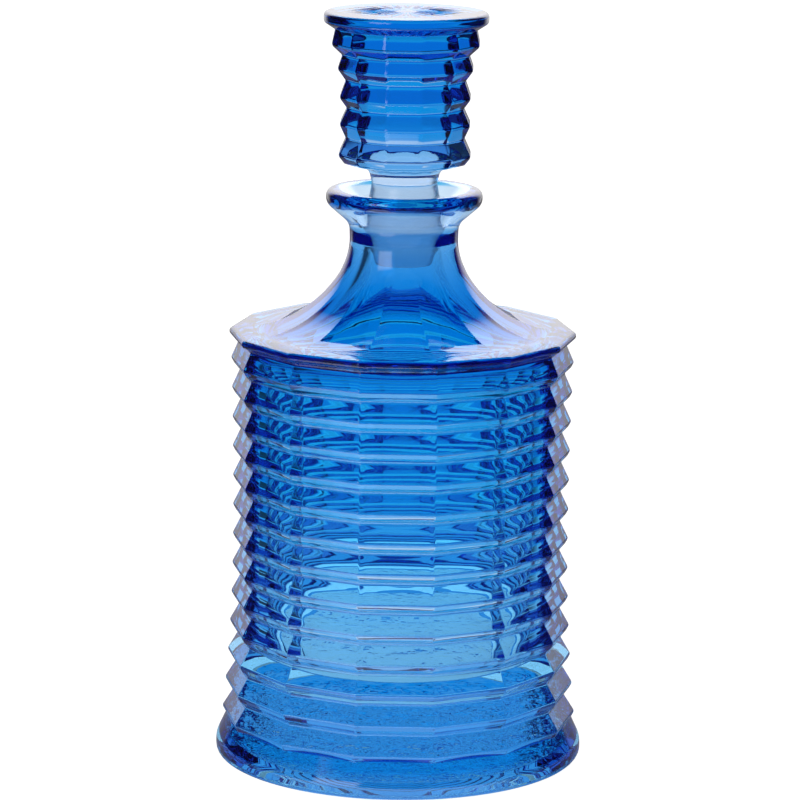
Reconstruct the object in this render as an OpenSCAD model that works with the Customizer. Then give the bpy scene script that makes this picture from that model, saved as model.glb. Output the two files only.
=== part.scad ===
// Stoppered decanter bottle of ribbed, pressed blue glass: a one-piece bottle and a solid stopper.
// Millimetres, +Z up. The origin is the centre of the foot, on the surface that the bottle stands on.

/* [Body] */
// Number of flat sides round the body
body_sides = 14; // [10:2:20]
// Number of ridges up the body, the shoulder rim included
body_ridges = 14; // [8:1:14]
// Height of the shoulder rim, which is the topmost ridge
rim_z = 138.4; // [136:0.2:139]
// Height from one ridge to the next
ridge_pitch = 9.62; // [8:0.01:9.7]
// How far a valley lies inside the ridge above it
ridge_depth = 3; // [2:0.1:3.5]
// Height of a ridge above the valley under it
ridge_undercut = 3.5; // [3:0.1:4.5]
// Rounding of a ridge's edge
ridge_round = 1.3; // [0.3:0.1:1.5]
// Rounding of the shoulder rim's edge
rim_round = 1.3; // [0.6:0.1:1.3]
// Radius to the body's corners at its narrowest ridge
waist_r = 54.1; // [53:0.1:55]
// Height of the narrowest part of the body
waist_z = 76; // [60:1:90]
// How much wider the shoulder rim is than the waist, in radius
rim_swell = 1; // [0:0.1:2]
// How much wider the lowest ridge is than the waist, in radius
base_swell = 3.2; // [2.5:0.1:3.5]

/* [Foot] */
// Radius of the round foot
foot_r = 59.1; // [58.5:0.1:60]
// Height of the foot's upright edge, under its rounded top
foot_edge_z = 4.6; // [4:0.1:6]
// Radius of the shallow recess under the foot
recess_r = 50; // [30:1:52]
// Depth of that recess
recess_depth = 1.6; // [0.5:0.1:3]

/* [Neck and lip] */
// Radius of the neck at its narrowest
neck_r = 17.2; // [16.8:0.1:18]
// Height of the narrowest part of the neck
neck_z = 168; // [166:0.5:169]
// Radius of the lip
lip_r = 24.8; // [23:0.1:26]
// Height of the lip's top face
lip_z = 184; // [183:0.5:185]

/* [Inside] */
// Radius of the round chamber
chamber_r = 46; // [40:0.5:47]
// Height of the chamber's floor above the foot
floor_z = 31.5; // [20:0.5:40]
// Rounding between the chamber's floor and its wall
floor_round = 8; // [3:0.5:12]

/* [Stopper seat] */
// Height of the top of the ground seat in the neck
seat_top_z = 173.5; // [173:0.5:175]
// Height of the bottom of the ground seat
seat_bottom_z = 166; // [164:0.5:167]
// Radius of the ground peg at the bottom of the seat
peg_r = 10.8; // [10.4:0.1:11]
// Taper of the seat and the peg, as radius over height
seat_taper = 0.26; // [0.15:0.01:0.27]
// Gap between the peg and the seat, in radius
seat_gap = 0.05; // [0.02:0.01:0.1]
// Height of the peg's flat tip
tip_z = 159.4; // [158:0.2:162]

/* [Stopper] */
// Number of flat sides round the stopper's knob
knob_sides = 12; // [8:2:16]
// Rounding of a knob ridge's edge
knob_round = 0.8; // [0.3:0.1:1]
// Radius of the stem between the knob and the peg
stem_r = 10.5; // [10:0.1:11]
// Radius of the round disc on top of the knob
disc_r = 26; // [25:0.1:28]
// Height of the disc's top face
disc_z = 240; // [239:0.2:242]
// Thickness of the disc at its rim
disc_edge = 3.2; // [2.6:0.1:3.6]
// Number of rays in the star cut into the disc
star_rays = 24; // [8:2:24]
// Radius at which the rays end
star_r = 19.8; // [15:0.1:22]
// Radius at which a ray is widest
star_middle_r = 11; // [9:0.5:13]
// Width of a ray at its widest
star_ray_width = 2.5; // [1:0.1:2.6]
// Depth of a ray at its deepest
star_depth = 1.1; // [0.5:0.1:1.4]

/* [Hidden] */

$fn = 96;
arc_steps = 3;      // straight lengths in each rounded corner
curve_steps = 12;   // straight lengths in each long curve
neck_split = 4;     // lengths that each flat is split into where the shoulder turns round
join = 1;           // overlap of a cut past the face that it opens

glass_blue = [0.05, 0.32, 0.78];
frost_blue = [0.55, 0.74, 0.9];

// Knob ridges from the bottom up: [height, distance from axis to flat] of the ridge, then of the
// valley above it.
knob_teeth = [
    [194.9, 21.0, 200.3, 18.6],
    [204.8, 20.6, 209.8, 18.3],
    [213.2, 20.7, 218.6, 18.8],
    [222.3, 21.4, 226.6, 19.9],
    [229.8, 23.3, 234.6, 22.3],
];
knob_floor = [192.3, 19.0];     // height, and distance to the flats, of the knob's underside
stem_z = 187.5;                 // height at which the stem starts to flare into the knob
peg_top_z = 185;                // height at which the ground peg meets the stem

lowest_z = rim_z - (body_ridges - 1) * ridge_pitch;
foot_top_z = lowest_z - 0.8;
recess_chamfer = 4;             // width of the slope round the recess
foot_crease = 2.2;              // how far the foot's top lies inside the lowest ridge
rim_more = 0.7;                 // what the rim's rounding takes off its radius again
rim_edge = 2;                   // height of the rim's outer edge
bend = [0.32, 0.51];            // where an undercut bends, as shares of its depth and height
rim_land = 5;                   // nearly level stretch of the shoulder inside the rim
rim_rise = 0.8;                 // what that stretch rises by
fade_height = 18;               // height over which the shoulder turns from flat-sided to round
mouth_r = 20;                   // edge of the dished mouth in the lip's top face
mouth_dish = 4;                 // depth of that dish
lip_edge_z = lip_z - 2.5;       // height of the lip's widest point
chamber_top_z = rim_z - 8;      // height at which the chamber's wall turns in under the shoulder
bell_start = [chamber_r - 9, rim_z - 4];    // where the chamber's roof bends up into the neck

// --- Outlines -----------------------------------------------------------------------------------

function unit(v) = v / norm(v);

// Angle brought into the range -180 to 180
function wrapped(a) = a - 360 * round(a / 360);

// Arc of radius r that rounds corner p between the neighbouring points a and b
function corner_arc(a, p, b, r) =
    let (u = unit(a - p),
         v = unit(b - p),
         half = acos(u * v) / 2,
         centre = p + unit(u + v) * r / sin(half),
         from = p + u * r / tan(half) - centre,
         to = p + v * r / tan(half) - centre,
         start = atan2(from[1], from[0]),
         sweep = wrapped(atan2(to[1], to[0]) - start))
    [for (k = [0 : arc_steps])
        centre + r * [cos(start + sweep * k / arc_steps), sin(start + sweep * k / arc_steps)]];

// Outline through corners [radius, height, rounding]; a corner without a rounding stays sharp
function rounded(corners) = [
    for (i = [0 : len(corners) - 1])
        let (c = corners[i], p = [c[0], c[1]])
        each is_undef(c[2])
            ? [p]
            : corner_arc(xy(corners[i - 1]), p, xy(corners[i + 1]), c[2])
];
function xy(c) = [c[0], c[1]];

// Points along the cubic curve from a to d with handles b and c
function curve(a, b, c, d) = [
    for (k = [0 : curve_steps])
        let (t = k / curve_steps, s = 1 - t)
        s * s * s * a + 3 * s * s * t * b + 3 * s * t * t * c + t * t * t * d
];

// --- Lofted solids with flat sides --------------------------------------------------------------

// Ring of points at height z. Its corners lie at radius r; each flat is split into `split` lengths,
// and `roundness` draws them out from the flat (0) to the circle through the corners (1).
function ring(sides, turn, r, z, split, roundness) = [
    for (i = [0 : sides * split - 1])
        let (step = 360 / sides,
             a = i * step / split,
             off = a - step * (floor(i / split) + 0.5),
             flat_r = r * cos(step / 2) / cos(off),
             ring_r = flat_r + (r - flat_r) * roundness)
        [ring_r * cos(a + turn), ring_r * sin(a + turn), z]
];

// Faces between a ring of n points that starts at index a and the ring of n * ratio above it
function band(n, a, ratio) =
    let (b = a + n, m = n * ratio)
    [for (i = [0 : n - 1])
        each concat(
            [[b + i * ratio, a + (i + 1) % n, a + i]],
            [for (j = [0 : ratio - 1])
                [b + i * ratio + j, b + (i * ratio + j + 1) % m, a + (i + 1) % n]])];

// Solid through levels [radius, height, split, roundness], from the bottom up
module loft(sides, turn, levels) {
    counts = [for (level = levels) sides * level[2]];
    starts = [for (k = 0, at = 0; k < len(levels); at = at + counts[k], k = k + 1) at];
    points = [for (l = levels) each ring(sides, turn, l[0], l[1], l[2], l[3])];
    last = len(levels) - 1;
    faces = concat(
        [[for (i = [0 : counts[0] - 1]) i]],
        [for (k = [0 : last - 1]) each band(counts[k], starts[k], counts[k + 1] / counts[k])],
        [[for (i = [counts[last] - 1 : -1 : 0]) starts[last] + i]]);
    polyhedron(points, faces);
}

// --- Bottle -------------------------------------------------------------------------------------

// Radius to the corners of a body ridge at height z: least at the waist, more to the rim and foot
function body_r(z) =
    let (t = z > waist_z ? (z - waist_z) / (rim_z - waist_z) : (waist_z - z) / (waist_z - lowest_z))
    waist_r + (z > waist_z ? rim_swell : base_swell) * t * t;

// Corners of the ribbed side, from the valley under the lowest ridge to the shoulder rim
function body_corners() = [
    for (k = [body_ridges - 1 : -1 : 0])
        let (z = rim_z - k * ridge_pitch, r = body_r(z))
        each [
            [r - ridge_depth, z - ridge_undercut],
            k > 0 ? [r - ridge_depth * bend[0], z - ridge_undercut * bend[1]] : [r, z - rim_edge],
            k > 0 ? [r, z, ridge_round] : [r + rim_more, z, rim_round]
        ]
];

// Shoulder: nearly level at the rim, then sweeping up into the neck
function shoulder_curve() =
    curve([body_r(rim_z) - rim_land, rim_z + rim_rise], [37, rim_z - 0.4],
          [neck_r, rim_z + 13.5], [neck_r, neck_z]);

// Neck top and lip, from the bottom up
function lip_corners() = [
    [neck_r, neck_z],
    [neck_r + 0.2, neck_z + 5, 5],
    [lip_r, lip_edge_z - 2, 3.5],
    [lip_r, lip_z - 1, 1.2],
    [lip_r - 3, lip_z],
];

// How far a height on the shoulder has turned from flat-sided (0) to round (1)
function fade(z) =
    let (t = max(0, min(1, (z - rim_z - 2) / fade_height)))
    t * t * (3 - 2 * t);

module bottle_outside() {
    shoulder = shoulder_curve();
    lip = rounded(lip_corners());
    side = rounded(concat(body_corners(), [shoulder[0]]));
    levels = concat(
        [for (p = side) if (p != shoulder[0]) [p[0], p[1], 1, 0]],
        [for (p = shoulder) [p[0], p[1], neck_split, fade(p[1])]],
        [for (i = [1 : len(lip) - 1]) [lip[i][0], lip[i][1], neck_split, 1]]);
    loft(body_sides, 0, levels);
}

// Round foot with a rounded edge, rising to the underside of the lowest ridge
module foot() {
    rotate_extrude()
        polygon(rounded([
            [0, 0],
            [foot_r, 0, 2],
            [foot_r, foot_edge_z, 6],
            [body_r(lowest_z) - foot_crease, foot_top_z],
            [0, foot_top_z],
        ]));
}

// Space inside the bottle: chamber, bell under the shoulder, ground seat and dished mouth
module bottle_inside() {
    seat_r = peg_r + seat_gap;
    seat_top_r = seat_r + (seat_top_z - seat_bottom_z) * seat_taper;
    bell = curve(bell_start, [26, rim_z + 0.5], [seat_r + 0.5, rim_z + 13], [seat_r + 0.6, seat_bottom_z]);
    rotate_extrude()
        polygon(concat(
            [[0, floor_z]],
            rounded([[0, floor_z], [chamber_r, floor_z, floor_round], [chamber_r, chamber_top_z, 6],
                     bell_start]),
            bell,
            [[seat_r, seat_bottom_z], [seat_top_r, seat_top_z]],
            rounded([[seat_top_r, seat_top_z], [seat_top_r + 1.5, lip_z - mouth_dish, 6],
                     [mouth_r, lip_z], [mouth_r, lip_z + join]]),
            [[0, lip_z + join]]));
}

// Shallow recess that leaves a flat standing ring under the foot
module recess() {
    rotate_extrude()
        polygon([[0, -join], [recess_r, -join], [recess_r, 0], [recess_r - recess_chamfer, recess_depth],
                 [0, recess_depth]]);
}

module bottle() {
    color(glass_blue)
        difference() {
            union() {
                bottle_outside();
                foot();
            }
            bottle_inside();
            recess();
        }
}

// --- Stopper ------------------------------------------------------------------------------------

// Flat-sided knob with its ridges; the knob's sizes are distances to its flats
module knob() {
    to_corner = 1 / cos(180 / knob_sides);
    corners = concat(
        [[knob_floor[1], knob_floor[0]]],
        [for (t = knob_teeth) each [[t[1], t[0], knob_round], [t[3], t[2]]]]);
    loft(knob_sides, 180 / knob_sides, [for (p = rounded(corners)) [p[0] * to_corner, p[1], 1, 0]]);
}

// Round disc on top of the knob, with a flared underside and rounded edges
module disc() {
    last = knob_teeth[len(knob_teeth) - 1];
    under_z = disc_z - disc_edge;
    rotate_extrude()
        polygon(concat(
            [[0, last[2] - 1]],
            rounded([[last[3] - 1.5, last[2] - 1], [disc_r, under_z, 1.4], [disc_r, disc_z, 1.3],
                     [0, disc_z]])));
}

// One V-shaped ray of the star, pointing along +X, widest and deepest near its middle
module star_ray() {
    lift = 1 + join / star_depth;
    top = star_depth * lift;
    reach = (star_r - star_middle_r) * lift;
    half_width = star_ray_width / 2 * lift;
    translate([star_middle_r, 0, disc_z - star_depth])
        polyhedron(
            [[0, 0, 0], [-reach, 0, top], [0, -half_width, top], [reach, 0, top], [0, half_width, top]],
            [[0, 1, 2], [0, 2, 3], [0, 3, 4], [0, 4, 1], [4, 3, 2, 1]]);
}

// Stem, flared into the knob above it
module stem() {
    rotate_extrude()
        polygon(concat(
            [[0, peg_top_z - join], [stem_r, peg_top_z - join]],
            rounded([[stem_r, peg_top_z], [stem_r, stem_z + 2.5, 3], [knob_floor[1] - 1, knob_floor[0] - 0.2],
                     [knob_floor[1] - 1, knob_floor[0] + join]]),
            [[0, knob_floor[0] + join]]));
}

// Ground peg: a neck under the stem, the cone that fits the seat, and a flat tip
module peg() {
    seat_top_r = peg_r + (seat_top_z - seat_bottom_z) * seat_taper;
    tip_r = peg_r - (seat_bottom_z - tip_z) * seat_taper;
    rotate_extrude()
        polygon(concat(
            [[0, tip_z]],
            rounded([[0, tip_z], [tip_r, tip_z, 0.8], [seat_top_r, seat_top_z, 1], [stem_r, peg_top_z]]),
            [[0, peg_top_z]]));
}

module stopper() {
    color(glass_blue) {
        difference() {
            union() {
                knob();
                disc();
                stem();
            }
            for (k = [0 : star_rays - 1])
                rotate([0, 0, (k + 0.5) * 360 / star_rays])
                    star_ray();
        }
    }
    color(frost_blue)
        peg();
}

bottle();
stopper();
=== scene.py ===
"""Ribbed blue glass bottle with a ground stopper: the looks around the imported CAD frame.

Both pieces are closed meshes of rings round the Z axis. Outlines are written as [radius, height] in
millimetres, as in the CAD, and turned into metres when the mesh is made.
"""
import math

import bpy
import numpy as np
from mathutils import Matrix, Vector


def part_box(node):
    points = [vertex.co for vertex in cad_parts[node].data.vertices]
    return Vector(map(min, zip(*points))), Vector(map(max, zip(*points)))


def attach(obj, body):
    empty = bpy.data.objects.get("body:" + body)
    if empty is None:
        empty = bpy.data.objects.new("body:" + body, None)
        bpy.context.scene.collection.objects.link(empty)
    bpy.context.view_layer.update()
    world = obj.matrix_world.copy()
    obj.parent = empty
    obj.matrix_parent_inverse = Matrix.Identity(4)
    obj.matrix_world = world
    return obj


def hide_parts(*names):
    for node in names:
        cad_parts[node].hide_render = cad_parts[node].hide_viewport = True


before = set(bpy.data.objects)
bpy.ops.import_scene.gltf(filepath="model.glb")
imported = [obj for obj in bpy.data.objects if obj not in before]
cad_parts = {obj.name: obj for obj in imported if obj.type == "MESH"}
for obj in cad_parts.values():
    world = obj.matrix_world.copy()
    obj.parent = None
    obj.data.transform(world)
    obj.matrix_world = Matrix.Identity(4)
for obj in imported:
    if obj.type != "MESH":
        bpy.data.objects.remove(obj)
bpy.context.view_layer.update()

MM = 0.001
bottle_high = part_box("bottle")[1] / MM
stopper_low, stopper_high = (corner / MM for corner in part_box("stopper"))

# Body
BODY_SIDES = 14
BODY_RIDGES = 14
RIM_Z = 138.4
RIDGE_PITCH = 9.62
RIDGE_DEPTH = 3.0
RIDGE_UNDERCUT = 3.5
RIDGE_ROUND = 1.3
VALLEY_ROUND = 1.0
BEND = (0.96, 1.79)                   # how far in and down from a ridge its undercut bends
BEND_ROUND = 1.0
RIM_ROUND = 1.3
RIM_MORE = 0.7                        # what that rounding takes off the rim again
RIM_EDGE = 2.0                        # height of the rim's outer edge
RIM_LAND = 5.0                        # nearly level stretch of the shoulder inside the rim
RIM_RISE = 0.8                        # what that stretch rises by
BODY_CORNERS = 0.03                   # rounding of the upright corners, as a share of the radius
BODY_COLUMNS = (0, 0.15, 0.3, 0.45, 1.5, 4, 8)   # degrees from a corner to the middle of a side
WAIST_R = 54.1
WAIST_Z = 76.0
RIM_SWELL = 1.0
BASE_SWELL = 3.2
LOWEST_Z = RIM_Z - (BODY_RIDGES - 1) * RIDGE_PITCH

# Foot
FOOT_R = bottle_high.x
FOOT_EDGE_Z = 4.6
FOOT_SLOPE = 3.7                      # how far the foot narrows up to the lowest ridge
FOOT_TOP = (FOOT_R - FOOT_SLOPE, LOWEST_Z - 0.8)
RECESS_R = 50.0
RECESS_CHAMFER = 4.0
RECESS_DEPTH = 1.6

# Neck and lip
NECK_R = 17.2
NECK_Z = 168.0
LIP_R = 24.8
LIP_Z = bottle_high.z
MOUTH_R = 20.0
MOUTH_BEND = (MOUTH_R - 4, LIP_Z - 4)     # on the slope between the mouth's edge and the seat
ROUND_FROM = RIM_Z + 2                # the shoulder turns from flat-sided to round between these
ROUND_AT = RIM_Z + 20

# Inside
CHAMBER_R = 46.0
CHAMBER_TOP_Z = RIM_Z - 8
FLOOR_Z = 31.5
FLOOR_ROUND = 8.0
BELL_START = (CHAMBER_R - 9, RIM_Z - 4)   # where the chamber's roof bends up into the neck
RIPPLE = 0.22                         # the chamber's wall follows the ridges by so much
CHAMBER_FLATNESS = 0.2                # and the flat sides by this share
SWAYS = (0.07, 0.012)                 # depth of the slow waves inside and outside
QUIVER = 0.02                         # depth of the quick waves inside
SEAT_TOP_Z = 173.5
SEAT_BOTTOM_Z = 166.0
PEG_R = 10.8
SEAT_TAPER = 0.26
SEAT_GAP = 0.05
SEAT_GROUND = 0.12                    # the seat is polished clearer than the peg

# Share of the coat that is there, by height, and what is missing of it where it was sheltered
BOTTLE_COAT = ((0, 0.86), (15, 0.84), (45, 0.84), (70, 0.9), (95, 1), (150, 1), (162, 0.8),
               (168, 0.7), (172, 0.78), (181, 1))
STOPPER_COAT = ((185, 0.35), (189, 0.35), (193, 0.65), (199, 0.85), (206, 1))
PEG_COAT = 0.16                       # trace of the coat on the ground peg
SHELTERED = (30, 55, 0.0, 0.55)       # from and to a height, share missing below and above
LOOKS_DOWN = (0.15, 0.5)              # slope from which and to which a face gets into that shelter

# Stopper
KNOB_SIDES = 12
KNOB_ROUND = 1.6
KNOB_CORNERS = 0.14
KNOB_COLUMNS = (0, 0.7, 1.4, 2.1, 4, 7, 9.5, 12.3)
STEM_R = 10.5
STEM_Z = 187.5
PEG_TOP_Z = 185.0
TIP_Z = stopper_low.z
DISC_R = stopper_high.x
DISC_Z = stopper_high.z
DISC_EDGE = 3.2
STAR_RAYS = 24
STAR_INNER_R = 3.0
STAR_R = 19.8
STAR_DEPTH = 0.8
STAR_SLOPE = 0.62                     # of the sides of a ray
WIDEST_RAY = 0.47                     # half width of a ray, as a share of the angle between rays
NARROWEST_RAY = 0.04
# Ridge and the valley above it, from the bottom up: height and distance to the flats of each
KNOB_TEETH = (
    (194.9, 21.0, 200.3, 18.6),
    (204.8, 20.6, 209.8, 18.3),
    (213.2, 20.7, 218.6, 18.8),
    (222.3, 21.4, 226.6, 19.9),
    (229.8, 23.3, 234.6, 22.3),
)
KNOB_FLOOR = (192.3, 19.0)


# --- Outlines ------------------------------------------------------------------------------------

def unit(v):
    return v / np.linalg.norm(v)


def corner_arc(a, p, b, radius, steps):
    """Arc that rounds corner p between its neighbours a and b."""
    u, v = unit(a - p), unit(b - p)
    half = math.acos(np.clip(u @ v, -1, 1)) / 2
    centre = p + unit(u + v) * radius / math.sin(half)
    start = p + u * radius / math.tan(half) - centre
    end = p + v * radius / math.tan(half) - centre
    first = math.atan2(start[1], start[0])
    sweep = (math.atan2(end[1], end[0]) - first + math.pi) % (2 * math.pi) - math.pi
    turns = first + sweep * np.linspace(0, 1, steps + 1)
    return centre + radius * np.column_stack([np.cos(turns), np.sin(turns)])


def rounded(corners, steps=4):
    """Outline through corners (radius, height[, rounding]); without a rounding a corner is sharp."""
    places = [np.array(c[:2], float) for c in corners]
    parts = []
    for i, corner in enumerate(corners):
        if len(corner) == 2:
            parts.append(places[i][None])
        else:
            parts.append(corner_arc(places[i - 1], places[i], places[i + 1], corner[2], steps))
    return np.vstack(parts)


def curve(a, b, c, d, steps=18):
    """Cubic curve from a to d with handles b and c."""
    t = np.linspace(0, 1, steps + 1)[:, None]
    s = 1 - t
    a, b, c, d = (np.array(p, float) for p in (a, b, c, d))
    return s**3 * a + 3 * s * s * t * b + 3 * s * t * t * c + t**3 * d


def divided(outline, longest):
    """The outline with each straight stretch split into equal lengths no longer than longest."""
    parts = [outline[:1]]
    for a, b in zip(outline[:-1], outline[1:]):
        length = np.linalg.norm(b - a)
        if length < 1e-6:
            continue
        count = max(1, math.ceil(length / longest))
        parts.append(a + (b - a) * (np.arange(1, count + 1) / count)[:, None])
    return np.vstack(parts)


def smoothstep(low, high, x):
    t = np.clip((x - low) / (high - low), 0, 1)
    return t * t * (3 - 2 * t)


# --- Ring meshes ---------------------------------------------------------------------------------

def facet(angles, sides, corner, rounding):
    """Radius at each angle of a regular polygon with its corners at radius 1.

    corner is the angle of one corner, and rounding the radius of the arcs that round them all.
    """
    half = math.pi / sides
    off = np.abs((angles - corner + half) % (2 * half) - half)
    centre = 1 - rounding / math.cos(half)
    arc_ends = half - math.atan((1 - rounding / math.cos(half)) * math.tan(half))
    arc = centre * np.cos(off) + np.sqrt(np.maximum(rounding**2 - (centre * np.sin(off)) ** 2, 0))
    return np.where(off < arc_ends, arc, math.cos(half) / np.cos(half - off))


def columns(sides, turn, offsets):
    """Angles of the columns: the same offsets, in degrees from a corner, on every side."""
    step = 360 / sides
    return np.radians([turn + side * step + off for side in range(sides) for off in offsets])


def mirrored(offsets, step):
    """Column offsets over one side: the given ones, the middle, and their mirror images."""
    return [*offsets, step / 2, *(step - off for off in reversed(offsets) if off > 0)]


class Rings:
    """Rings of points, from one pole of a closed piece to the other.

    Each ring is coated or bare, and ground or clear, as shares from 0 to 1.
    """

    def __init__(self, angles):
        self.angles = angles
        self.rows = []
        self.finish = []

    def add(self, radius, height, angles=None, coated=1.0, ground=0.0):
        ones = np.ones(len(self.angles))
        self.rows.append((radius * ones, height * ones, self.angles if angles is None else angles))
        self.finish.append((coated, ground))

    def outline(self, points, flat=None, flatness=0.0, coated=1.0, ground=0.0):
        """Adds a ring for each point of an outline. flatness is how far it follows the polygon."""
        shares = (np.broadcast_to(share, len(points)) for share in (flatness, coated, ground))
        for (radius, height), flatness, coated, ground in zip(points, *shares):
            shape = 1 if flat is None else 1 + flatness * (flat - 1)
            self.add(radius * shape, height, None, coated, ground)

    def mesh(self, name, first_z, last_z, upward, wave=None):
        """Makes the object, closed at each end by a point on the axis at first_z and last_z.

        upward is 1 if the rings climb the outside and -1 if they go down it. Faces that look down
        were in the spray's shelter, so their coat is thinner.
        """
        radius, height, angle = (np.array(part) for part in zip(*self.rows))
        out, up = np.gradient(radius.mean(1)), np.gradient(height.mean(1))
        facing_down = upward * out / np.maximum(np.hypot(out, up), 1e-6)
        low, high, least, most = SHELTERED
        missing = least + (most - least) * smoothstep(low, high, height.mean(1))
        shelter = missing * smoothstep(*LOOKS_DOWN, facing_down)
        if wave is not None:
            radius = radius + wave(radius, height, angle)
        places = np.stack([radius * np.cos(angle), radius * np.sin(angle), height], axis=-1)
        count, around = radius.shape
        verts = np.vstack([places.reshape(-1, 3), [[0, 0, first_z], [0, 0, last_z]]]) * MM
        here = np.arange(around)
        after = (here + 1) % around
        rows = np.arange(count - 1)[:, None] * around
        quads = np.stack([rows + here, rows + after, rows + around + after, rows + around + here], -1)
        first_pole, last_pole = count * around, count * around + 1
        last = (count - 1) * around
        faces = quads.reshape(-1, 4).tolist()
        faces += [(first_pole, b, a) for a, b in zip(here.tolist(), after.tolist())]
        faces += [(last + a, last + b, last_pole) for a, b in zip(here.tolist(), after.tolist())]
        mesh = bpy.data.meshes.new(name)
        mesh.from_pydata(verts.tolist(), [], faces)
        mesh.validate()
        mesh.polygons.foreach_set("use_smooth", np.ones(len(mesh.polygons), bool))
        finish = np.array(self.finish, float)
        finish[:, 0] *= 1 - shelter
        finish = np.vstack([np.repeat(finish, around, axis=0), finish[0], finish[-1]])
        for column, label in enumerate(("coated", "ground")):
            mesh.attributes.new(label, "FLOAT", "POINT").data.foreach_set("value", finish[:, column])
        piece = bpy.data.objects.new(name, mesh)
        bpy.context.scene.collection.objects.link(piece)
        weighted = piece.modifiers.new("weighted_normals", "WEIGHTED_NORMAL")
        weighted.mode = "FACE_AREA"
        weighted.weight = 60
        return piece


# --- Bottle --------------------------------------------------------------------------------------

def bottle_coat(z):
    """Share of the coat at a height: less near the foot and in the lip's shelter."""
    return np.interp(z, *zip(*BOTTLE_COAT))


def body_r(z):
    """Radius to the corners of a ridge at height z: least at the waist."""
    if z > WAIST_Z:
        return WAIST_R + RIM_SWELL * ((z - WAIST_Z) / (RIM_Z - WAIST_Z)) ** 2
    return WAIST_R + BASE_SWELL * ((WAIST_Z - z) / (WAIST_Z - LOWEST_Z)) ** 2


def foot_rings(rings, flat):
    """Recess, standing ring and rounded foot, up to the crease where the flat-sided body starts."""
    under = rounded([
        (12, RECESS_DEPTH),
        (RECESS_R - RECESS_CHAMFER, RECESS_DEPTH, 2),
        (RECESS_R, 0, 1),
        (FOOT_R, 0, 2),
        (FOOT_R, FOOT_EDGE_Z, 6),
        FOOT_TOP,
    ], steps=6)
    points = divided(under[:-1], longest=4)
    on_its_foot = (points[:, 1] < RECESS_DEPTH + 0.1) & (points[:, 0] < FOOT_R - 0.8)
    rings.outline(points, coated=bottle_coat(points[:, 1]) * (1 - on_its_foot))
    # The foot's top is a cone and the lowest ridge's underside is flat-sided: they meet in a crease.
    edge = under[-2]
    cone = (FOOT_TOP[0] - edge[0]) / (FOOT_TOP[1] - edge[1])
    ridge = body_r(LOWEST_Z)
    slope = RIDGE_DEPTH / RIDGE_UNDERCUT
    crease_z = (edge[0] - cone * edge[1] - flat * (ridge - slope * LOWEST_Z)) / (flat * slope - cone)
    crease_r = edge[0] + cone * (crease_z - edge[1])
    for share in (0.5, 0.9, 1.0):
        rings.add(edge[0] + (crease_r - edge[0]) * share, edge[1] + (crease_z - edge[1]) * share)
    return crease_r, crease_z


def side_outline():
    """Saw-tooth side from the underside of the lowest ridge to the shoulder rim."""
    corners = []
    for k in reversed(range(BODY_RIDGES)):
        z = RIM_Z - k * RIDGE_PITCH
        r = body_r(z)
        crest = (r, z, RIDGE_ROUND) if k else (r + RIM_MORE, z, RIM_ROUND)
        bend = (r - BEND[0], z - BEND[1]) if k else (r, z - RIM_EDGE)
        valley = (r - RIDGE_DEPTH, z - RIDGE_UNDERCUT, VALLEY_ROUND)
        corners += [valley, (*bend, BEND_ROUND), crest]
    corners[0] = corners[0][:2]
    corners.append((body_r(RIM_Z) - RIM_LAND, RIM_Z + RIM_RISE))
    return rounded(corners, steps=5)[1:]


def bottle_wave(radius, height, angle):
    """Slight unevenness of pressed glass: faint on the outside, stronger on the inside."""
    inside = (height > FLOOR_Z - 1) & (height < SEAT_BOTTOM_Z - 8) & (radius < CHAMBER_R + 0.6)
    inside = inside & ((height < RIM_Z - 2) | (radius < 30))
    z = height * 2 * math.pi
    slow = np.sin(z / 61 + 2 * angle + 0.4) + np.sin(z / 43 - 3 * angle + 2.1)
    quick = np.sin(z / 17 + 5 * angle) + np.sin(z / 12.3 - 7 * angle + 1.3)
    return np.where(inside, SWAYS[0] * slow + QUIVER * quick, SWAYS[1] * slow)


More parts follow.
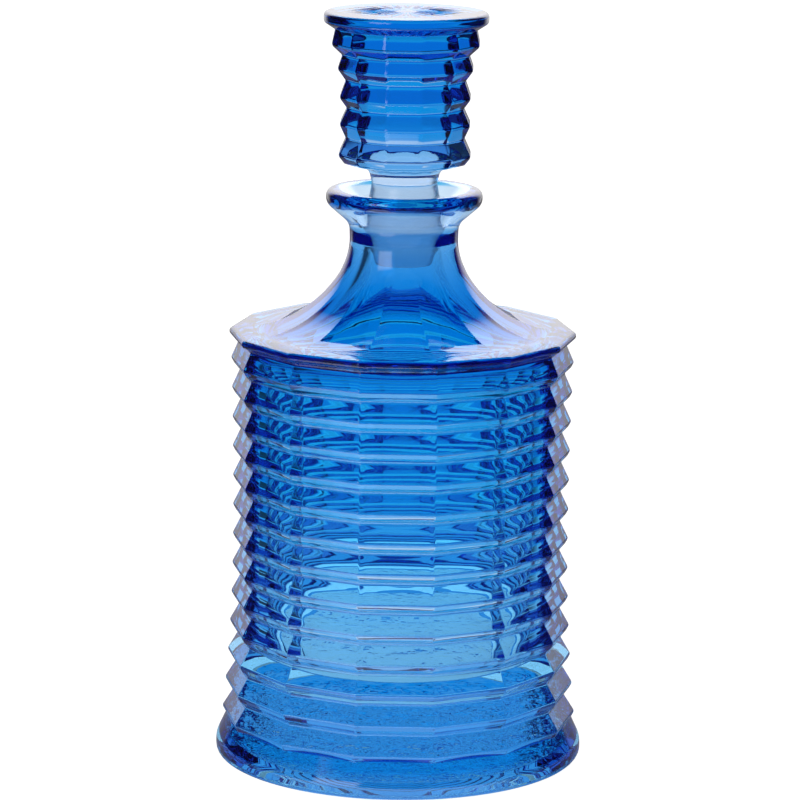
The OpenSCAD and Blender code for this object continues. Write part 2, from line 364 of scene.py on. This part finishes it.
def make_bottle():
    step = 360 / BODY_SIDES
    rings = Rings(columns(BODY_SIDES, 0, mirrored(BODY_COLUMNS, step)))
    flat = facet(rings.angles, BODY_SIDES, 0, BODY_CORNERS)
    crease_r, crease_z = foot_rings(rings, flat)

    side = side_outline()
    for share in (0.1, 0.5):
        rings.add(crease_r + (side[0][0] * flat - crease_r) * share,
                  crease_z + (side[0][1] - crease_z) * share)
    points = divided(side, longest=1.6)
    rings.outline(points, flat, 1, bottle_coat(points[:, 1]))

    shoulder = curve(side[-1], (37, RIM_Z - 0.4), (NECK_R, RIM_Z + 13.5), (NECK_R, NECK_Z),
                     steps=34)[1:]
    height = shoulder[:, 1]
    rings.outline(shoulder, flat, 1 - smoothstep(ROUND_FROM, ROUND_AT, height), bottle_coat(height))
    lip = rounded([
        (NECK_R, NECK_Z),
        (NECK_R + 0.2, NECK_Z + 5, 5),
        (LIP_R, LIP_Z - 4.5, 3.5),
        (LIP_R, LIP_Z, 2.2),
        (MOUTH_R, LIP_Z - 0.2, 3),
        MOUTH_BEND,
    ], steps=9)[1:]
    points = divided(lip, longest=1.2)
    outer = smoothstep(MOUTH_R, MOUTH_R + 2.5, points[:, 0]) + (points[:, 1] < LIP_Z - 6)
    rings.outline(points, coated=bottle_coat(points[:, 1]) * np.minimum(outer, 1))

    seat_r = PEG_R + SEAT_GAP
    seat_top_r = seat_r + (SEAT_TOP_Z - SEAT_BOTTOM_Z) * SEAT_TAPER
    seat = rounded([
        MOUTH_BEND,
        (seat_top_r + 1.2, SEAT_TOP_Z + 3.5, 3),
        (seat_top_r, SEAT_TOP_Z),
        (seat_r, SEAT_BOTTOM_Z),
        (seat_r + 0.4, SEAT_BOTTOM_Z - 0.4),
    ], steps=6)[1:]
    points = divided(seat, longest=1.2)
    rings.outline(points, coated=0.0, ground=SEAT_GROUND * (points[:, 1] < SEAT_TOP_Z + 0.5))
    bell = curve((seat_r + 0.4, SEAT_BOTTOM_Z - 0.4), (seat_r + 0.5, RIM_Z + 13),
                 (26, RIM_Z + 0.5), BELL_START, steps=30)[1:]
    rings.outline(bell, coated=0.0)
    wall = divided(rounded([
        BELL_START,
        (CHAMBER_R, CHAMBER_TOP_Z, 6),
        (CHAMBER_R, FLOOR_Z, FLOOR_ROUND),
        (10, FLOOR_Z),
    ], steps=8)[1:], longest=1.2)
    height = wall[:, 1]
    full = smoothstep(FLOOR_Z + 4, FLOOR_Z + 14, height)
    full = full * (1 - smoothstep(CHAMBER_TOP_Z - 8, CHAMBER_TOP_Z, height))
    ripple = RIPPLE * np.cos(2 * math.pi * (height - RIM_Z) / RIDGE_PITCH) * full
    for (radius, z), r_more, share in zip(wall, ripple, full):
        rings.add((radius + r_more) * (1 + CHAMBER_FLATNESS * share * (flat - 1)), z, coated=0.0)
    return rings.mesh("bottle_glass", RECESS_DEPTH, FLOOR_Z, 1, bottle_wave)


# --- Stopper -------------------------------------------------------------------------------------

def star_rings(rings, corner):
    """Top of the disc with its star of V-shaped cuts, from the centre to past the star's tips."""
    sector = 2 * math.pi / STAR_RAYS
    rays = corner + sector * np.arange(STAR_RAYS)
    for radius in (1.2, *np.linspace(STAR_INNER_R, STAR_R, 26), STAR_R + 1.5):
        t = np.clip((radius - STAR_INNER_R) / (STAR_R - STAR_INNER_R), 0, 1)
        depth = STAR_DEPTH * (4 * t * (1 - t)) ** 0.8 * (1.25 - 0.5 * t)
        half = min(math.asin(min(1, depth / STAR_SLOPE / radius)), sector * WIDEST_RAY)
        depth = math.sin(half) * radius * STAR_SLOPE
        half = max(half, sector * NARROWEST_RAY)
        shares = (0, 0.5 * half, half, (half + sector / 2) / 2)
        offsets = [*shares, sector / 2, *(sector - s for s in reversed(shares[1:]))]
        drops = (depth, depth / 2, 0, 0, 0, 0, 0, depth / 2)
        angles = (rays[:, None] + offsets).ravel()
        rings.add(radius, DISC_Z - np.tile(drops, STAR_RAYS), angles)


def make_stopper():
    step = 360 / KNOB_SIDES
    corner = math.radians(step / 2)
    rings = Rings(columns(KNOB_SIDES, step / 2, mirrored(KNOB_COLUMNS, step)))
    even = corner + 2 * math.pi * np.arange(len(rings.angles)) / len(rings.angles)
    flat = facet(rings.angles, KNOB_SIDES, corner, KNOB_CORNERS)
    to_corner = 1 / math.cos(math.pi / KNOB_SIDES)

    star_rings(rings, corner)
    under_z = DISC_Z - DISC_EDGE
    top_z, top_flat = KNOB_TEETH[-1][2:]
    disc = divided(rounded([
        (STAR_R + 2.5, DISC_Z),
        (DISC_R, DISC_Z, 1.3),
        (DISC_R, under_z, 1.4),
        (top_flat + 0.9, top_z + 0.3, 0.4),
        (top_flat + 0.5, top_z - 0.3),
    ], steps=7)[:-1], longest=0.8)
    for k, (radius, height) in enumerate(disc):
        share = smoothstep(0.55, 1, k / (len(disc) - 1))
        shape = 1 + share * (flat - 1)
        rings.add(radius * shape, height, even + share * (rings.angles - even))

    corners = [(top_flat, top_z)]
    for ridge_z, ridge_r, valley_z, valley_r in reversed(KNOB_TEETH):
        if corners[-1][1] != valley_z:
            corners.append((valley_r, valley_z, VALLEY_ROUND))
        corners.append((ridge_r, ridge_z, KNOB_ROUND))
    corners.append(KNOB_FLOOR[::-1])
    knob = rounded(corners, steps=5)
    knob[:, 0] *= to_corner
    points = divided(knob, longest=1.1)
    rings.outline(points, flat, 1, np.interp(points[:, 1], *zip(*STOPPER_COAT)))

    flare = rounded([
        (KNOB_FLOOR[1] * to_corner, KNOB_FLOOR[0]),
        (STEM_R + 1, STEM_Z + 2.8, 3),
        (STEM_R, STEM_Z - 1),
    ], steps=10)[1:]
    flatness = 1 - smoothstep(0, 0.5, np.linspace(0, 1, len(flare)))
    rings.outline(flare, flat, flatness, np.interp(flare[:, 1], *zip(*STOPPER_COAT)))
    seat_top_r = PEG_R + (SEAT_TOP_Z - SEAT_BOTTOM_Z) * SEAT_TAPER
    tip_r = PEG_R - (SEAT_BOTTOM_Z - TIP_Z) * SEAT_TAPER
    peg = rounded([
        (STEM_R, STEM_Z - 1),
        (STEM_R, PEG_TOP_Z),
        (seat_top_r, SEAT_TOP_Z, 1.5),
        (tip_r, TIP_Z, 1.2),
        (2.5, TIP_Z),
    ], steps=6)[1:]
    points = divided(peg, longest=0.8)
    rings.outline(points, coated=PEG_COAT, ground=points[:, 1] < PEG_TOP_Z + 0.2)
    piece = rings.mesh("stopper_glass", DISC_Z, TIP_Z, -1)
    piece.data.flip_normals()
    return piece


# --- Materials -----------------------------------------------------------------------------------

# Share of red, green and blue that the coat lets through
BOTTLE_BLUE = (0.012, 0.42, 0.81)
STOPPER_BLUE = (0.008, 0.37, 0.79)
FROST_TINT = (0.86, 0.93, 1.0)
GLASS_IOR = 1.52
GLASS_TINT = (0.86, 0.97, 0.99, 1)
GLASS_DENSITY = 4.0
WAVES = 50                            # per metre, about
WAVE_DEPTHS = (0.00016, 0.0001)       # on bare and on coated faces, in metres
DIMPLES = 170                         # on the underside's recess, per metre, about
DIMPLE_DEPTH = 0.0012
SMUDGES = 55                          # per metre, about
SMUDGE_ROUGH = 0.015
GRIND = (60, 60, 2600)                # grinding marks per metre along x, y and z, about
GRIND_ROUGH = (0.1, 0.3)
HAZE = 0.15                           # share of light that a ground face scatters


def glass_material(name, blue):
    """Clear glass under a transparent blue coat, frosted where it is ground.

    The coat tints what passes through it once, and light that the coated face throws back inside
    passes it twice. The mesh says where it is coated and where it is ground.
    """
    material = bpy.data.materials.new(name)
    material.use_nodes = True
    tree = material.node_tree
    nodes, links = tree.nodes, tree.links
    nodes.clear()

    def add(kind, inputs=(), **settings):
        node = nodes.new(kind)
        for setting, value in settings.items():
            setattr(node, setting, value)
        for socket, value in dict(inputs).items():
            if isinstance(value, bpy.types.NodeSocket):
                links.new(value, node.inputs[socket])
            else:
                node.inputs[socket].default_value = value
        return node

    def between(share, low, high, kind):
        """low where share is 0, high where it is 1."""
        node = add("ShaderNodeMix", {"Factor": share}, data_type=kind)
        sides = [socket for socket in node.inputs if socket.type in ("RGBA", "VALUE")]
        for socket, value in zip([x for x in sides if x.enabled and x.name in "AB"], (low, high)):
            if isinstance(value, bpy.types.NodeSocket):
                links.new(value, socket)
            else:
                socket.default_value = value
        return next(socket for socket in node.outputs if socket.enabled)

    place = add("ShaderNodeTexCoord").outputs["Object"]
    coated = add("ShaderNodeAttribute", attribute_name="coated").outputs["Fac"]
    ground = add("ShaderNodeAttribute", attribute_name="ground").outputs["Fac"]
    inside = add("ShaderNodeNewGeometry").outputs["Backfacing"]

    smudge = add("ShaderNodeTexNoise", {"Vector": place, "Scale": SMUDGES, "Detail": 4}).outputs["Fac"]
    dull = add("ShaderNodeMapRange", {"Value": smudge, "From Min": 0.5, "From Max": 0.8,
                                      "To Min": 0.0, "To Max": SMUDGE_ROUGH}).outputs["Result"]
    turned = add("ShaderNodeMapping", {"Vector": place, "Scale": GRIND}).outputs["Vector"]
    grind = add("ShaderNodeTexNoise", {"Vector": turned, "Scale": 1, "Detail": 3}).outputs["Fac"]
    frost = add("ShaderNodeMapRange", {"Value": grind, "To Min": GRIND_ROUGH[0],
                                       "To Max": GRIND_ROUGH[1]}).outputs[0]
    rough = between(ground, dull, frost, "FLOAT")

    white = (1, 1, 1, 1)
    through = between(coated, white, (*blue, 1), "RGBA")
    behind = add("ShaderNodeMath", {0: coated, 1: inside}, operation="MULTIPLY").outputs[0]
    thrown = between(behind, white, (*(share * share for share in blue), 1), "RGBA")

    swirl = add("ShaderNodeTexNoise", {"Vector": place, "Scale": WAVES, "Detail": 1}).outputs["Fac"]
    depth = between(coated, *WAVE_DEPTHS, "FLOAT")
    surface = add("ShaderNodeBump", {"Height": swirl, "Distance": depth}).outputs[0]
    z = add("ShaderNodeSeparateXYZ", {0: place}).outputs["Z"]
    under = add("ShaderNodeMath", {0: z, 1: RECESS_DEPTH * MM, 2: 0.2 * MM}, operation="COMPARE")
    dimples = add("ShaderNodeTexNoise", {"Vector": place, "Scale": DIMPLES, "Detail": 2}).outputs["Fac"]
    depth = add("ShaderNodeMath", {0: under.outputs[0], 1: DIMPLE_DEPTH}, operation="MULTIPLY")
    surface = add("ShaderNodeBump", {"Height": dimples, "Distance": depth.outputs[0],
                                     "Normal": surface}).outputs[0]
    refraction = add("ShaderNodeBsdfRefraction", {"Color": through, "Roughness": rough,
                                                  "IOR": GLASS_IOR, "Normal": surface}).outputs[0]
    glossy = add("ShaderNodeBsdfAnisotropic", {"Color": thrown, "Roughness": rough,
                                               "Normal": surface}).outputs[0]
    mirror = add("ShaderNodeFresnel", {"IOR": GLASS_IOR, "Normal": surface}).outputs[0]
    glass = add("ShaderNodeMixShader", {0: mirror, 1: refraction, 2: glossy}).outputs[0]
    haze = add("ShaderNodeBsdfTranslucent", {"Color": (*FROST_TINT, 1)}).outputs[0]
    haze_share = add("ShaderNodeMath", {0: ground, 1: HAZE}, operation="MULTIPLY").outputs[0]
    glass = add("ShaderNodeMixShader", {0: haze_share, 1: glass, 2: haze}).outputs[0]
    body = add("ShaderNodeVolumeAbsorption",
               {"Color": GLASS_TINT, "Density": GLASS_DENSITY}).outputs[0]
    add("ShaderNodeOutputMaterial", {"Surface": glass, "Volume": body})
    return material


class MathNodes:
    """Math nodes of one node tree."""

    def __init__(self, tree):
        self.nodes, self.links = tree.nodes, tree.links

    def math(self, operation, first, second=0.0, third=0.0):
        node = self.nodes.new("ShaderNodeMath")
        node.operation = operation
        for socket, value in zip(node.inputs, (first, second, third)):
            if isinstance(value, bpy.types.NodeSocket):
                self.links.new(value, socket)
            else:
                socket.default_value = value
        return node.outputs[0]

    def rise(self, value, low, high, start, end, kind="SMOOTHSTEP"):
        """Goes from start to end while value goes from low to high."""
        node = self.nodes.new("ShaderNodeMapRange")
        node.interpolation_type = kind
        for socket, number in zip(node.inputs[1:5], (low, high, start, end)):
            socket.default_value = number
        self.links.new(value, node.inputs["Value"])
        return node.outputs[0]


# --- Stage ---------------------------------------------------------------------------------------

CAMERA_DISTANCE = 1.27
CAMERA_PITCH = math.radians(11.8)
CAMERA_ROLL = math.radians(0.69)
CAMERA_TURN = math.radians(1.2)
AIM = Vector((-0.0006, 0, 0.1155))
SENSOR = 36.0
VIEW_WIDTH = 0.256                    # width that the picture spans at the bottle's axis

FLOOR_WIDTH = 0.9
FLOOR_LENGTH = 4.0
FLOOR_MIDDLE = 0.9
FLOOR_COLOUR = (0.4, 0.4, 0.4)
FLOOR_SLANT = -0.5                    # the painted glow reaches further forward on the left
FLOOR_LIGHT = (-0.15, 0.08, 0.6, 1.0)     # from and to how far back, painted glow before and behind: painted shade in front of the bottle, painted light behind it
FLOOR_MIRRORED = 0.12                 # share of that painted glow that the glass mirrors
# Painted pool of the window's light, glowing from the floor itself: where it ends, its sides, where it
# starts
PATCH_END = (0.35, 0.6, 1.9, 0.0)
PATCH_SIDES = (0.07, 0.12, 1.0, 0.0)
PATCH_START = (0.03, 0.10, 0.0, 1.0)
PATCH_THROUGH = 0.2                   # share of that painted light that is seen through the glass
BACKDROP_LEAN = 0.20                  # the backdrop reaches further round on the right
# Each of these: from and to where along a direction, and light there
BACKDROP_EDGE = (0.38, 0.70, 0.12, 1.1)
CORE_EDGE = (0.72, 0.93, 0.02, 1.0)
CORE_GLOW = (0.0, 0.65, 1.1, 3.4)
CORE_TOP = (0.66, 0.685, 1.0, 0.0)
FRONT_EDGE = (-0.8, -0.35, 0.32, 0.0)
WINDOW_TURN = math.radians(-37)
WINDOW_SIDES = (0.20, 0.30, 2.8, 0.0)
WINDOW_SILL = (-0.06, 0.02, 0.0, 1.0)
WINDOW_TOP = (0.4, 0.5, 1.0, 0.0)
WINDOW_FRONT = (-0.5, -0.2, 1.0, 0.0)
WINDOW_THROUGH = 0.8                  # share of the window's light that is seen through the glass
ROOM_WHITE = (1.0, 0.985, 0.99)
BLANK = 1.1                           # what the camera itself sees of the room


def make_camera():
    data = bpy.data.cameras.new("camera")
    data.sensor_width = SENSOR
    data.lens = SENSOR * CAMERA_DISTANCE / VIEW_WIDTH
    data.clip_end = 20
    camera = bpy.data.objects.new("camera", data)
    turn = Matrix.Rotation(CAMERA_TURN, 4, "Z") @ Matrix.Rotation(math.pi / 2 - CAMERA_PITCH, 4, "X")
    camera.matrix_world = (Matrix.Translation(AIM) @ turn @ Matrix.Translation((0, 0, CAMERA_DISTANCE))
                           @ Matrix.Rotation(CAMERA_ROLL, 4, "Z"))
    bpy.context.scene.collection.objects.link(camera)
    bpy.context.scene.camera = camera


def make_floor():
    """White paper sweep, narrow enough that the glass sees the darker room on either side of it.

    Its glow is painted light: most behind the bottle, dim in front as painted shade, and a painted pool
    of the window's light in front on the left.
    """
    bpy.ops.mesh.primitive_plane_add(size=1, location=(0, FLOOR_MIDDLE, 0))
    floor = bpy.context.object
    floor.name = "floor"
    floor.scale = (FLOOR_WIDTH, FLOOR_LENGTH, 1)
    material = bpy.data.materials.new("floor")
    material.use_nodes = True
    nodes, links = material.node_tree.nodes, material.node_tree.links
    shader = nodes["Principled BSDF"]
    shader.inputs["Base Color"].default_value = (*FLOOR_COLOUR, 1)
    shader.inputs["Roughness"].default_value = 0.9
    shader.inputs["Emission Color"].default_value = (1, 1, 1, 1)
    place = nodes.new("ShaderNodeNewGeometry").outputs["Position"]
    path = nodes.new("ShaderNodeLightPath")
    sums = MathNodes(material.node_tree)

    def along(x, y):
        """How far a place lies in that direction."""
        node = nodes.new("ShaderNodeVectorMath")
        node.operation = "DOT_PRODUCT"
        node.inputs[1].default_value = (x, y, 0)
        links.new(place, node.inputs[0])
        return node.outputs["Value"]

    # Painted light and shade: the floor's own glow rises from front to back.
    lit = sums.rise(along(FLOOR_SLANT, 1), *FLOOR_LIGHT)
    seen_through = path.outputs["Is Transmission Ray"]
    share = sums.rise(seen_through, 0.0, 1.0, FLOOR_MIRRORED, 1.0)
    glow = sums.math("MULTIPLY", lit, share)
    # Painted pool of light: the floor glows where the window would shine on it.
    painted_pool = sums.rise(along(math.sin(WINDOW_TURN), -math.cos(WINDOW_TURN)), *PATCH_END)
    sideways = sums.math("ABSOLUTE", along(math.cos(WINDOW_TURN), math.sin(WINDOW_TURN)))
    painted_pool = sums.math("MULTIPLY", painted_pool, sums.rise(sideways, *PATCH_SIDES))
    painted_pool = sums.math("MULTIPLY", painted_pool, sums.rise(along(0, -1), *PATCH_START))
    painted_pool = sums.math("MULTIPLY", painted_pool, sums.rise(seen_through, 0.0, 1.0, 1.0, PATCH_THROUGH))
    glow = sums.math("ADD", glow, painted_pool)
    seen = sums.math("MAXIMUM", glow, path.outputs["Is Camera Ray"])
    links.new(seen, shader.inputs["Emission Strength"])
    floor.data.materials.append(material)


def make_world():
    """White backdrop behind the bottle, a window in front on the left and a dim room round them.

    Light that has come through the glass also finds the pale room in front. What the glass only
    mirrors is the window, the core of the backdrop up to its top edge, and darkness elsewhere.
    """
    world = bpy.data.worlds.new("studio")
    bpy.context.scene.world = world
    world.use_nodes = True
    nodes, links = world.node_tree.nodes, world.node_tree.links
    sums = MathNodes(world.node_tree)
    split = nodes.new("ShaderNodeSeparateXYZ")
    links.new(nodes.new("ShaderNodeTexCoord").outputs["Generated"], split.inputs[0])
    x, y, z = split.outputs
    path = nodes.new("ShaderNodeLightPath")
    seen_through = path.outputs["Is Transmission Ray"]
    level = sums.math("SQRT", sums.math("SUBTRACT", 1.0, sums.math("MULTIPLY", z, z)))
    behind = sums.math("DIVIDE", y, sums.math("MAXIMUM", level, 0.001))
    leaning = sums.math("MULTIPLY_ADD", x, BACKDROP_LEAN, behind)
    wide = sums.math("ADD", sums.rise(leaning, *BACKDROP_EDGE), sums.rise(leaning, *FRONT_EDGE))
    core = sums.math("MULTIPLY", sums.rise(behind, *CORE_EDGE), sums.rise(z, *CORE_GLOW, "LINEAR"))
    core = sums.math("MULTIPLY", core, sums.rise(z, *CORE_TOP))
    through = sums.math("MULTIPLY", wide, seen_through)
    mirrored_in = sums.math("MULTIPLY", core, sums.math("SUBTRACT", 1.0, seen_through))

    turned = sums.math("MULTIPLY", y, math.sin(WINDOW_TURN))
    across = sums.math("MULTIPLY_ADD", x, math.cos(WINDOW_TURN), turned)
    window = sums.rise(sums.math("ABSOLUTE", across), *WINDOW_SIDES)
    for value, limits in ((y, WINDOW_FRONT), (z, WINDOW_SILL), (z, WINDOW_TOP)):
        window = sums.math("MULTIPLY", window, sums.rise(value, *limits))
    window = sums.math("MULTIPLY", window, sums.rise(seen_through, 0.0, 1.0, 1.0, WINDOW_THROUGH))
    light = sums.math("ADD", sums.math("ADD", through, mirrored_in), window)
    light = sums.math("MAXIMUM", light, sums.math("MULTIPLY", path.outputs["Is Camera Ray"], BLANK))
    background = nodes["Background"]
    background.inputs["Color"].default_value = (*ROOM_WHITE, 1)
    links.new(light, background.inputs["Strength"])


make_camera()
make_world()
make_floor()

bottle = make_bottle()
stopper = make_stopper()
bottle.data.materials.append(glass_material("bottle_glass", BOTTLE_BLUE))
stopper.data.materials.append(glass_material("stopper_glass", STOPPER_BLUE))
for piece, node in ((bottle, "bottle"), (stopper, "stopper")):
    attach(piece, node)
    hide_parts(node)

scene = bpy.context.scene
scene.view_settings.view_transform = "Standard"
scene.cycles.max_bounces = 40
scene.cycles.transmission_bounces = 40
scene.cycles.glossy_bounces = 16
scene.cycles.use_denoising = True
